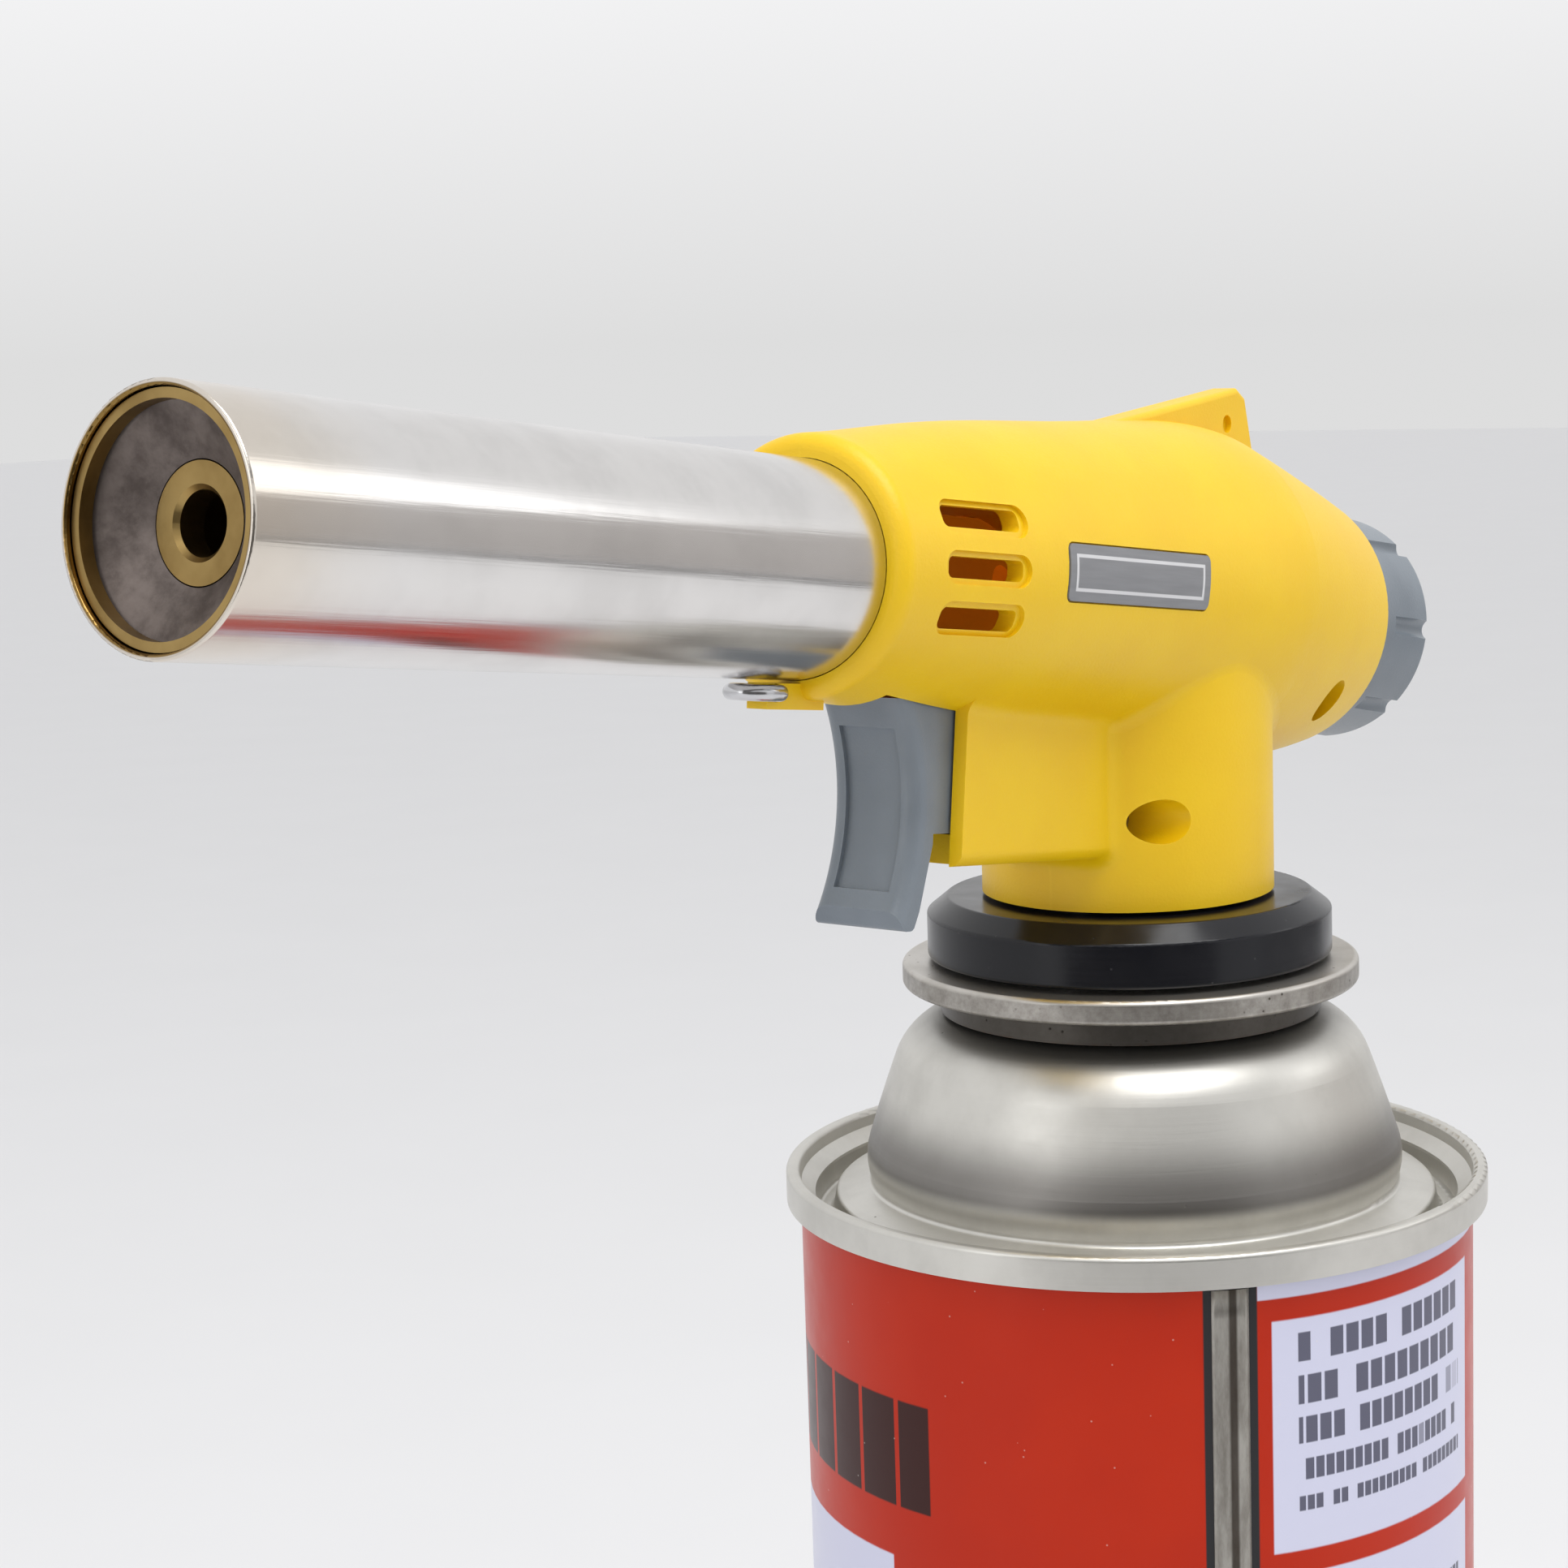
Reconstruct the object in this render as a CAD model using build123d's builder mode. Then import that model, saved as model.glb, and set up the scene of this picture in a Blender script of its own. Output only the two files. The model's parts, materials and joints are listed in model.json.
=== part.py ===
"""Cartridge blow torch: a burner head with piezo ignition, twist-locked on a steel gas cartridge.

Millimetres. +Z is up along the cartridge axis, the origin is the centre of the cartridge's base
plane, and the flame tube points towards -X, tilted upwards. The left side of the torch is -Y.
"""

from build123d import *
import math
import os

os.makedirs("parts", exist_ok=True)

# ---------------------------------------------------------------- driving dimensions
# cartridge
can_radius = 33.0
can_wall = 0.6
chime_top = 164.5  # height of the top seam's ridge
chime_radius = 34.4
chime_inner = 33.1
chime_height = 3.1
base_seam_radius = 34.2
base_seam_inner = 32.9
plate = 0.7  # thickness of the pressed end plates

# mounting cup on top of the cartridge, heights above the chime
cup_radius = 22.25
cup_rim_low = 18.1
cup_rim_high = 20.45
cup_lip = 0.75
cup_opening = 15.8
cup_wall_inner = 17.9
cup_wall = 0.7
cup_floor_low = 15.5
lug_count = 3
lug_angle = 30.0
lug_slot_angle = 36.0
lug_radius = 17.4
unlock_angle = 40.0

# cartridge valve
stem_radius = 2.0
stem_clear = 0.06
stem_top = 22.2
valve_cup_radius = 5.1

# torch head
burner_tilt = 7.2  # of the flame tube above level, degrees
valve_tilt = 9.5  # of the gas knob's axis below level, degrees
valve_height = 55.8  # where both axes cross the cartridge axis, above the chime
shell_wall = 2.0
neck_radius = 14.2
neck_low = 27.2
ring_radius = 19.7
ring_low = 20.9
ring_side_high = 25.2
ring_high = 26.8

# flame tube
tube_radius = 9.2
tube_wall = 0.5
tube_start = 50.5
tube_end = 123.2
lip_front = 53.4  # housing's front lip, along the burner
loft_front = 56.0  # where the barrel's form would end if the lip were not cut back
grip = 0.05  # gap between a tube and the seat that holds it

# trigger and its case
case_front = 35.8
case_rear = -3.0
case_bottom = -24.9
case_half = 6.2
trigger_half = 4.6
trigger_gap = 0.3
sill_top = -22.3

# gas knob
rim_at = 31.0  # housing's rear rim, along the knob axis
knob_radius = 11.8
knob_start = 31.7
knob_side_end = 43.2
knob_end = 46.6
flute_count = 8
flute_start = 36.3

valve_z = chime_top + valve_height


# ---------------------------------------------------------------- frames
def tilted_section(distance, rise, tilt):
    """A plane square to an axis tilted up towards the mouth, a distance forward of the valve."""
    angle = math.radians(tilt)
    forward = Vector(-math.cos(angle), 0, math.sin(angle))
    upward = Vector(math.sin(angle), 0, math.cos(angle))
    centre = Vector(0, 0, valve_z) + forward * distance + upward * rise
    return Plane(origin=centre, x_dir=(0, 1, 0), z_dir=forward)


def burner_section(distance, rise=0.0):
    """A plane across the flame tube's axis: local X is +Y, local Y is downwards."""
    return tilted_section(distance, rise, burner_tilt)


def knob_section(distance):
    """A plane across the gas knob's axis, a distance behind the valve."""
    return tilted_section(-distance, 0.0, valve_tilt)


# side view of the burner: local X runs to the mouth, local Y is square to the tube, upwards
burner_forward = burner_section(0).z_dir
burner_side = Plane(origin=(0, 0, valve_z), x_dir=burner_forward, z_dir=(0, 1, 0))
burner_axis = Axis((0, 0, valve_z), burner_forward)

# side view of the gas knob: local X runs rearwards, local Y is square to the spindle, upwards
knob_rearward = knob_section(0).z_dir * -1
knob_side = Plane(origin=(0, 0, valve_z), x_dir=knob_rearward, z_dir=(0, -1, 0))
knob_axis = Axis((0, 0, valve_z), knob_rearward)


def above_chime(height):
    """A level plane at a height above the cartridge's top seam."""
    return Plane.XY.offset(chime_top + height)


def turned_ring(outer, inner, low, high):
    """A plain ring or disc about the cartridge axis, with heights above the chime."""
    with BuildPart() as ring:
        with BuildSketch(above_chime(low)):
            Circle(outer)
            if inner > 0:
                Circle(inner, mode=Mode.SUBTRACT)
        extrude(amount=high - low)
    return ring.part


def burner_bar(radius, start, end, bore=0.0):
    """A bar or tube along the flame tube's axis."""
    with BuildPart() as bar:
        with BuildSketch(burner_section(start)):
            Circle(radius)
            if bore > 0:
                Circle(bore, mode=Mode.SUBTRACT)
        extrude(amount=end - start)
    return bar.part


def knob_bar(radius, start, end, bore=0.0):
    """A bar or tube along the gas knob's axis."""
    with BuildPart() as bar:
        with BuildSketch(knob_section(end)):
            Circle(radius)
            if bore > 0:
                Circle(bore, mode=Mode.SUBTRACT)
        extrude(amount=end - start)
    return bar.part


def burner_block(start, end, low, high, half):
    """A block between two distances along the burner and two heights across it."""
    with BuildPart() as block:
        with BuildSketch(burner_side):
            with Locations(((start + end) / 2, (low + high) / 2)):
                Rectangle(end - start, high - low)
        extrude(amount=half, both=True)
    return block.part


def coil(plane, radius, wire, length, turns):
    """A helical spring standing on a plane, along its normal."""
    with BuildPart() as spring:
        with BuildLine(plane):
            helix = Helix(pitch=length / turns, height=length, radius=radius)
        with BuildSketch(Plane(origin=helix @ 0, z_dir=helix % 0)):
            Circle(wire)
        sweep(path=helix, is_frenet=True)
    return spring.part


def along_y(radius, section, place, low, high):
    """A bar of a radius parallel to Y through a place on a side-view plane, between two values of Y."""
    centre = section.from_local_coords((place[0], place[1], 0))
    with BuildPart() as bar:
        with BuildSketch(Plane(origin=(centre.X, low, centre.Z), z_dir=(0, 1, 0))):
            Circle(radius)
        extrude(amount=high - low)
    return bar.part


# ---------------------------------------------------------------- cartridge
def rolled_seam(outer, inner, ridge, inward):
    """The rolled seam between the side wall and an end plate; inward is -1 at the top, 1 below."""
    with BuildPart() as seam:
        with BuildSketch(Plane.XZ) as profile:
            with BuildLine():
                Polyline(
                    (31.75, ridge + inward * chime_height),
                    (outer, ridge + inward * chime_height),
                    (outer, ridge),
                    (inner, ridge),
                    (inner - 0.2, ridge + inward * 1.4),
                    (31.55, ridge + inward * 2.5),
                    close=True,
                )
            make_face()
            # the lower seam keeps a sharp outer edge to stand on
            corners = profile.vertices().filter_by_position(Axis.Y, ridge - 0.01, ridge + 0.01)
            fillet(corners if inward < 0 else corners.sort_by(Axis.X)[:1], 0.45)
        revolve(axis=Axis.Z)
    return seam.part


# side wall, rolled into the end seams at both ends
with BuildPart() as can_body:
    with BuildSketch(Plane.XY.offset(chime_height + 0.1)):
        Circle(can_radius)
        Circle(can_radius - can_wall, mode=Mode.SUBTRACT)
    extrude(amount=chime_top - 2 * chime_height - 0.2)

can_body.part.label = "can_body"
export_step(can_body.part, "parts/can_body.step")

# top plate: bulging dome, flared foot, trough and the top seam
top_seam = rolled_seam(chime_radius, chime_inner, chime_top, -1)
with BuildPart() as can_dome:
    with BuildSketch(Plane.XZ):
        with BuildLine():
            crown = TangentArc((16.6, chime_top + 15.4), (23.2, chime_top + 10.8), tangent=(1, 0))
            side = TangentArc(crown @ 1, (26.0, chime_top + 2.6), tangent=crown % 1)
            waist = TangentArc(side @ 1, (26.0, chime_top - 0.9), tangent=side % 1)
            FilletPolyline(
                waist @ 1,
                (25.7, chime_top - 1.6),
                (29.4, chime_top - 2.4),
                (29.9, chime_top - 4.9),
                (31.4, chime_top - 4.9),
                (31.7, chime_top - 2.6),
                radius=0.45,
            )
            offset(amount=plate, side=Side.RIGHT, closed=True)
        make_face()
    revolve(axis=Axis.Z)
    add(top_seam)

can_dome.part.label = "can_dome"
export_step(can_dome.part, "parts/can_dome.step")

# bottom plate, domed inwards, with the seam that the cartridge stands on
bottom_seam = rolled_seam(base_seam_radius, base_seam_inner, 0.0, 1)
with BuildPart() as can_base:
    with BuildSketch(Plane.XZ):
        with BuildLine():
            bulge = TangentArc((0, 10.9), (24.0, 7.0), tangent=(1, 0))
            FilletPolyline(bulge @ 1, (28.0, 5.0), (31.3, 4.8), (31.6, 2.6), radius=0.45)
            offset(amount=plate, side=Side.LEFT, closed=True)
        make_face()
    revolve(axis=Axis.Z)
    add(bottom_seam)

can_base.part.label = "can_base"
export_step(can_base.part, "parts/can_base.step")

# mounting cup: flange, inward lip with slots for the lugs, well and the pedestal round the stem
with BuildPart() as mounting_cup:
    with BuildSketch(Plane.XZ):
        with BuildLine():
            Polyline(
                (stem_radius + 0.15, chime_top + 18.4),
                (valve_cup_radius + 0.05, chime_top + 18.4),
                (valve_cup_radius + 0.05, chime_top + cup_floor_low),
                (cup_wall_inner + cup_wall, chime_top + cup_floor_low),
                (cup_wall_inner + cup_wall, chime_top + cup_rim_low),
                (cup_radius, chime_top + cup_rim_low),
                (cup_radius, chime_top + cup_rim_high),
                (cup_opening, chime_top + cup_rim_high),
                (cup_opening, chime_top + cup_rim_high - cup_lip),
                (cup_wall_inner, chime_top + cup_rim_high - cup_lip),
                (cup_wall_inner, chime_top + cup_floor_low + plate),
                (valve_cup_radius + plate, chime_top + cup_floor_low + plate),
                (valve_cup_radius + plate, chime_top + 19.1),
                (stem_radius + 0.15, chime_top + 19.1),
                close=True,
            )
        make_face()
    revolve(axis=Axis.Z)
    flange_edges = mounting_cup.edges().filter_by(GeomType.CIRCLE).filter_by(lambda e: e.radius > cup_radius - 0.01)
    fillet(flange_edges, 0.5)
    # slots in the lip, one lug's turn away from the locked lugs
    for index in range(lug_count):
        middle = index * 360 / lug_count + unlock_angle
        with BuildSketch(above_chime(cup_rim_high - cup_lip - 0.1)):
            with BuildLine():
                reach = cup_wall_inner
                left = math.radians(middle - lug_slot_angle / 2)
                right = math.radians(middle + lug_slot_angle / 2)
                Polyline(
                    (0, 0),
                    (1.2 * reach * math.cos(left), 1.2 * reach * math.sin(left)),
                    (1.2 * reach * math.cos(right), 1.2 * reach * math.sin(right)),
                    close=True,
                )
            make_face()
            Circle(cup_wall_inner - 0.2, mode=Mode.INTERSECT)
        extrude(amount=cup_lip + 0.2, mode=Mode.SUBTRACT)
    # index notch in the flange's edge, at the back
    with BuildSketch(above_chime(cup_rim_low)):
        with Locations((cup_radius, 0)):
            Rectangle(3.0, 4.0)
    extrude(amount=cup_rim_high - cup_rim_low, mode=Mode.SUBTRACT)

mounting_cup.part.label = "mounting_cup"
export_step(mounting_cup.part, "parts/mounting_cup.step")

# plastic housing of the cartridge valve, hanging in the pedestal, with a tail for the dip tube
with BuildPart() as valve_housing:
    with BuildSketch(Plane.XZ):
        with BuildLine():
            Polyline(
                (0.7, chime_top - 1.0),
                (1.6, chime_top - 1.0),
                (1.6, chime_top + 4.0),
                (valve_cup_radius, chime_top + 4.0),
                (valve_cup_radius, chime_top + 17.6),
                (3.4, chime_top + 17.6),
                (3.4, chime_top + 6.0),
                (0.7, chime_top + 6.0),
                close=True,
            )
        make_face()
    revolve(axis=Axis.Z)

valve_housing.part.label = "valve_housing"
export_step(valve_housing.part, "parts/valve_housing.step")

# hollow valve stem with the collar that seals under the gasket
with BuildPart() as valve_stem:
    add(turned_ring(stem_radius, 0, 14.6, stem_top))
    add(turned_ring(3.1, 0, 14.6, 16.2))
    with Locations((0, 0, chime_top + stem_top)):
        Hole(0.7, depth=5.0)

valve_stem.part.label = "valve_stem"
export_step(valve_stem.part, "parts/valve_stem.step")

with BuildPart() as stem_gasket:
    add(turned_ring(valve_cup_radius - 0.05, stem_radius + stem_clear, 17.65, 18.35))

stem_gasket.part.label = "stem_gasket"
export_step(stem_gasket.part, "parts/stem_gasket.step")

with BuildPart() as stem_spring:
    add(coil(above_chime(6.6), 2.5, 0.3, 7.4, 6))

stem_spring.part.label = "stem_spring"
export_step(stem_spring.part, "parts/stem_spring.step")

# dip tube, bent towards the upper side of a cartridge that is used lying down
with BuildPart() as dip_tube:
    with BuildLine(Plane.XZ) as dip_path:
        FilletPolyline(
            (0, chime_top + 2.4), (0, chime_top - 8.0), (24.0, chime_top - 11.0), radius=4.0
        )
    with BuildSketch(Plane(origin=(0, 0, chime_top + 2.4), z_dir=(0, 0, -1))):
        Circle(2.3)
        Circle(1.65, mode=Mode.SUBTRACT)
    sweep(path=dip_path.wires()[0])

dip_tube.part.label = "dip_tube"
export_step(dip_tube.part, "parts/dip_tube.step")

# ---------------------------------------------------------------- twist lock
lock_low = 17.6
lock_screw_radius = 12.2
with BuildPart() as lock_plate:
    add(turned_ring(15.4, 9.0, lock_low, ring_low))
    # lugs that turn in under the cup's lip
    for index in range(lug_count):
        with BuildSketch(above_chime(lock_low)):
            with BuildLine():
                half_turn = math.radians(lug_angle / 2)
                middle = math.radians(index * 360 / lug_count)
                first = middle - half_turn
                last = middle + half_turn
                outer_arc = ThreePointArc(
                    (lug_radius * math.cos(first), lug_radius * math.sin(first)),
                    (lug_radius * math.cos(middle), lug_radius * math.sin(middle)),
                    (lug_radius * math.cos(last), lug_radius * math.sin(last)),
                )
                Polyline(
                    outer_arc @ 1,
                    (12 * math.cos(last), 12 * math.sin(last)),
                    (12 * math.cos(first), 12 * math.sin(first)),
                    outer_arc @ 0,
                )
            make_face()
        extrude(amount=1.7)
    with BuildSketch(above_chime(lock_low)):
        with PolarLocations(lock_screw_radius, lug_count, start_angle=60):
            Circle(1.3)
    extrude(amount=ring_low - lock_low, mode=Mode.SUBTRACT)
    with BuildSketch(above_chime(lock_low)):
        with PolarLocations(lock_screw_radius, lug_count, start_angle=60):
            Circle(2.3)
    extrude(amount=1.5, mode=Mode.SUBTRACT)

lock_plate.part.label = "lock_plate"
export_step(lock_plate.part, "parts/lock_plate.step")

with BuildPart() as lock_screws:
    with BuildSketch(above_chime(lock_low + 0.1)):
        with PolarLocations(lock_screw_radius, lug_count, start_angle=60):
            Circle(2.2)
    extrude(amount=1.4)
    with BuildSketch(above_chime(lock_low + 1.5)):
        with PolarLocations(lock_screw_radius, lug_count, start_angle=60):
            Circle(1.2)
    extrude(amount=6.5)

lock_screws.part.label = "lock_screws"
export_step(lock_screws.part, "parts/lock_screws.step")

# black ring that the head turns on, with a spigot up inside the neck
with BuildPart() as base_ring:
    with BuildSketch(Plane.XZ):
        with BuildLine():
            Polyline(
                (5.15, chime_top + ring_low),
                (ring_radius, chime_top + ring_low),
                (ring_radius, chime_top + ring_side_high),
                (ring_radius - 2.0, chime_top + ring_high),
                (12.15, chime_top + ring_high),
                (12.15, chime_top + 32.0),
                (9.2, chime_top + 32.0),
                (9.2, chime_top + ring_high),
                (5.15, chime_top + ring_high),
                close=True,
            )
        make_face()
    revolve(axis=Axis.Z)
    with BuildSketch(above_chime(ring_low)):
        with PolarLocations(lock_screw_radius, lug_count, start_angle=60):
            Circle(1.25)
    extrude(amount=5.0, mode=Mode.SUBTRACT)
    rim_edges = base_ring.edges().filter_by(GeomType.CIRCLE).filter_by(lambda e: e.radius > ring_radius - 2.1)
    fillet(rim_edges, 0.4)

base_ring.part.label = "base_ring"
export_step(base_ring.part, "parts/base_ring.step")

# brass inlet that presses the cartridge's stem, and its sealing ring
with BuildPart() as inlet_probe:
    add(turned_ring(5.05, 0, 19.8, ring_high))
    add(turned_ring(3.4, 0, ring_high, 31.5))
    with BuildSketch(above_chime(19.8)):
        Circle(2.3)
    extrude(amount=2.5, mode=Mode.SUBTRACT)
    with BuildSketch(above_chime(19.8)):
        Circle(3.4)
    extrude(amount=1.3, mode=Mode.SUBTRACT)
    with BuildSketch(above_chime(19.8)):
        Circle(0.6)
    extrude(amount=12.0, mode=Mode.SUBTRACT)

inlet_probe.part.label = "inlet_probe"
export_step(inlet_probe.part, "parts/inlet_probe.step")

with BuildPart() as inlet_seal:
    add(turned_ring(3.35, stem_radius + stem_clear, 19.9, 21.0))

inlet_seal.part.label = "inlet_seal"
export_step(inlet_seal.part, "parts/inlet_seal.step")

# ---------------------------------------------------------------- gas valve
gland_at = 14.0
# cast body: riser from the cartridge, block, jet boss to the front and spindle boss to the rear
with BuildPart() as valve_body:
    add(turned_ring(8.8, 0, ring_high + 0.05, 30.5))
    add(turned_ring(6.4, 0, 30.5, valve_height))
    with Locations((0, 0, valve_z)):
        Sphere(8.0)
    add(burner_bar(6.3, 0, 16.5))
    add(knob_bar(5.6, 0, 19.5))
    # gas way: riser bore, socket for the inlet, jet thread, spindle bore and gland thread
    with BuildSketch(above_chime(ring_high)):
        Circle(1.1)
    extrude(amount=valve_height - ring_high, mode=Mode.SUBTRACT)
    with BuildSketch(above_chime(ring_high)):
        Circle(3.45)
    extrude(amount=5.2, mode=Mode.SUBTRACT)
    add(burner_bar(0.8, -1.0, 17.0), mode=Mode.SUBTRACT)
    add(burner_bar(3.05, 11.0, 17.0), mode=Mode.SUBTRACT)
    add(knob_bar(0.8, 0, 5.0), mode=Mode.SUBTRACT)
    add(knob_bar(2.55, 4.0, 20.0), mode=Mode.SUBTRACT)
    add(knob_bar(4.25, gland_at, 20.0), mode=Mode.SUBTRACT)

valve_body.part.label = "valve_body"
export_step(valve_body.part, "parts/valve_body.step")

# spindle with a needle tip, and a flat that the knob drives
with BuildPart() as needle_spindle:
    add(knob_bar(2.5, 4.7, 41.0))
    add(knob_bar(0.7, 3.0, 4.7))
    with BuildSketch(knob_side):
        with Locations((37.0, 2.5)):
            Rectangle(15.2, 1.3)
    extrude(amount=3.0, both=True, mode=Mode.SUBTRACT)

needle_spindle.part.label = "needle_spindle"
export_step(needle_spindle.part, "parts/needle_spindle.step")

with BuildPart() as spindle_seal:
    add(knob_bar(4.15, gland_at + 0.05, gland_at + 1.9, bore=2.52))

spindle_seal.part.label = "spindle_seal"
export_step(spindle_seal.part, "parts/spindle_seal.step")

# gland nut: thread in the valve body, hexagon, and a grooved neck that the knob turns on
with BuildPart() as gland_nut:
    add(knob_bar(4.2, gland_at + 2.0, 19.6))
    with BuildSketch(knob_section(23.0)):
        RegularPolygon(5.2, 6)
    extrude(amount=3.4)
    add(knob_bar(4.0, 23.0, 30.4))
    add(knob_bar(5.0, 27.4, 28.6, bore=3.5), mode=Mode.SUBTRACT)
    add(knob_bar(2.55, gland_at, 31.0), mode=Mode.SUBTRACT)

gland_nut.part.label = "gland_nut"
export_step(gland_nut.part, "parts/gland_nut.step")

# fluted knob with a hub over the gland nut's neck
with BuildPart() as control_knob:
    with BuildSketch(knob_side):
        with BuildLine():
            Polyline(
                (knob_end, 0),
                (26.2, 0),
                (26.2, 5.7),
                (knob_start + 3.0, 5.7),
                (knob_start + 3.0, knob_radius - 1.6),
                (knob_start, knob_radius - 1.6),
                (knob_start, knob_radius - 0.3),
                (knob_side_end, knob_radius),
            )
            dome = ThreePointArc((knob_end, 0), (knob_end - 0.8, 5.0), (knob_side_end + 1.0, knob_radius - 2.0))
            Spline((knob_side_end, knob_radius), dome @ 1, tangents=((1, 0), -(dome % 1)))
        make_face()
    revolve(axis=knob_axis)
    add(knob_bar(4.05, 26.0, 31.0), mode=Mode.SUBTRACT)
    add(knob_bar(4.75, 27.45, 28.55), mode=Mode.SUBTRACT)
    # socket for the spindle's flatted end
    with BuildSketch(knob_section(42.5)):
        Circle(2.55)
        with Locations((0, -2.5)):
            Rectangle(6.0, 1.1, mode=Mode.SUBTRACT)
    extrude(amount=11.6, mode=Mode.SUBTRACT)
    # finger flutes, open at the outer end
    with BuildSketch(knob_section(knob_end + 1.0)):
        with PolarLocations(knob_radius + 0.6, flute_count, start_angle=90):
            SlotOverall(2.8, 2.0)
    extrude(amount=knob_end + 1.0 - flute_start, mode=Mode.SUBTRACT)

control_knob.part.label = "control_knob"
export_step(control_knob.part, "parts/control_knob.step")

# open spring clip in the gland nut's groove, which keeps the knob on
with BuildPart() as knob_clip:
    add(knob_bar(4.7, 27.6, 28.4, bore=3.55))
    with BuildSketch(knob_section(28.4)):
        with Locations((0, 4.0)):
            Rectangle(2.4, 4.0)
    extrude(amount=0.8, mode=Mode.SUBTRACT)

knob_clip.part.label = "knob_clip"
export_step(knob_clip.part, "parts/knob_clip.step")

# ---------------------------------------------------------------- burner
electrode_drop = 6.7  # of the ignition electrode below the tube's axis
insulator_radius = 1.3

# gas jet screwed into the front of the valve body
with BuildPart() as gas_jet:
    add(burner_bar(3.0, 11.2, 16.6))
    add(burner_bar(4.0, 16.6, 22.4))
    add(burner_bar(1.6, 22.4, 25.4))
    add(burner_bar(0.9, 11.0, 23.5), mode=Mode.SUBTRACT)
    add(burner_bar(0.25, 23.0, 25.6), mode=Mode.SUBTRACT)

gas_jet.part.label = "gas_jet"
export_step(gas_jet.part, "parts/gas_jet.step")

# mixer: socket on the jet, cross-drilled air holes, narrow throat, flange that centres the flame tube
with BuildPart() as air_mixer:
    add(burner_bar(5.8, 17.0, tube_start + 0.1))
    add(burner_bar(tube_radius - tube_wall - 0.05, tube_start + 0.1, 54.0))
    add(burner_bar(4.2, 54.0, 58.0))
    add(burner_bar(4.05, 16.5, 22.5), mode=Mode.SUBTRACT)
    add(burner_bar(3.4, 22.4, 33.0), mode=Mode.SUBTRACT)
    add(burner_bar(2.6, 32.9, 59.0), mode=Mode.SUBTRACT)
    with BuildSketch(burner_side):
        with Locations((30.8, 0), (42.5, 0)):
            Circle(1.5)
    extrude(amount=7.0, both=True, mode=Mode.SUBTRACT)
    with BuildSketch(Plane(origin=(0, 0, valve_z), x_dir=burner_forward, z_dir=burner_section(0).y_dir)):
        with Locations((30.8, 0), (42.5, 0)):
            Circle(1.5)
    extrude(amount=7.0, both=True, mode=Mode.SUBTRACT)
    with BuildSketch(burner_section(45.5)):
        with Locations((0, electrode_drop)):
            Circle(insulator_radius + 0.05)
    extrude(amount=9.0, mode=Mode.SUBTRACT)

air_mixer.part.label = "air_mixer"
export_step(air_mixer.part, "parts/air_mixer.step")

with BuildPart() as burner_tube:
    add(burner_bar(4.75, 54.05, 116.0, bore=4.25))

burner_tube.part.label = "burner_tube"
export_step(burner_tube.part, "parts/burner_tube.step")

# burner nose in the end of the burner tube
with BuildPart() as flame_holder:
    add(burner_bar(4.2, 110.0, 116.05))
    add(burner_bar(4.75, 116.05, 117.4))
    add(burner_bar(4.15, 117.4, 119.3))
    add(burner_bar(3.3, 109.0, 116.5), mode=Mode.SUBTRACT)
    add(burner_bar(2.25, 116.0, 120.0), mode=Mode.SUBTRACT)
    nose_edges = flame_holder.edges().filter_by(GeomType.CIRCLE).sort_by_distance(burner_section(119.3).origin)
    chamfer(nose_edges[:2], 0.35)

flame_holder.part.label = "flame_holder"
export_step(flame_holder.part, "parts/flame_holder.step")

# outer tube, with its mouth edge turned in
with BuildPart() as flame_tube:
    add(burner_bar(tube_radius, tube_start + 0.05, tube_end, bore=tube_radius - tube_wall))
    mouth_edges = flame_tube.edges().filter_by(GeomType.CIRCLE).sort_by_distance(burner_section(tube_end).origin)
    fillet(mouth_edges[:2], 0.22)

flame_tube.part.label = "flame_tube"
export_step(flame_tube.part, "parts/flame_tube.step")

# shallow dish that closes the gap between the burner nose and the flame tube
with BuildPart() as flame_dish:
    with BuildSketch(burner_side):
        with BuildLine():
            Polyline((118.7, 4.25), (119.3, 4.25), (121.5, 8.6), (120.9, 8.6), close=True)
        make_face()
    revolve(axis=burner_axis)

flame_dish.part.label = "flame_dish"
export_step(flame_dish.part, "parts/flame_dish.step")

with BuildPart() as heat_ring:
    add(burner_bar(8.6, 121.55, 122.7, bore=7.9))

heat_ring.part.label = "heat_ring"
export_step(heat_ring.part, "parts/heat_ring.step")

# ---------------------------------------------------------------- igniter
plunger_drop = 16.5  # of the igniter's plunger below the flame tube's axis
plunger_radius = 2.0

# sealed igniter block with the bore for its plunger
with BuildPart() as piezo_body:
    add(burner_block(10.8, 25.5, sill_top + 0.05, -12.0, 4.2))
    with BuildSketch(burner_section(15.5)):
        with Locations((0, plunger_drop)):
            Circle(plunger_radius + 0.1)
    extrude(amount=11.0, mode=Mode.SUBTRACT)

piezo_body.part.label = "piezo_body"
export_step(piezo_body.part, "parts/piezo_body.step")

with BuildPart() as piezo_plunger:
    with BuildSketch(burner_section(21.0)):
        with Locations((0, plunger_drop)):
            Circle(plunger_radius)
    extrude(amount=16.1)

piezo_plunger.part.label = "piezo_plunger"
export_step(piezo_plunger.part, "parts/piezo_plunger.step")

with BuildPart() as electrode_insulator:
    with BuildSketch(burner_section(46.0)):
        with Locations((0, electrode_drop)):
            Circle(insulator_radius)
            Circle(0.5, mode=Mode.SUBTRACT)
    extrude(amount=66.0)

electrode_insulator.part.label = "electrode_insulator"
export_step(electrode_insulator.part, "parts/electrode_insulator.step")

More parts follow.
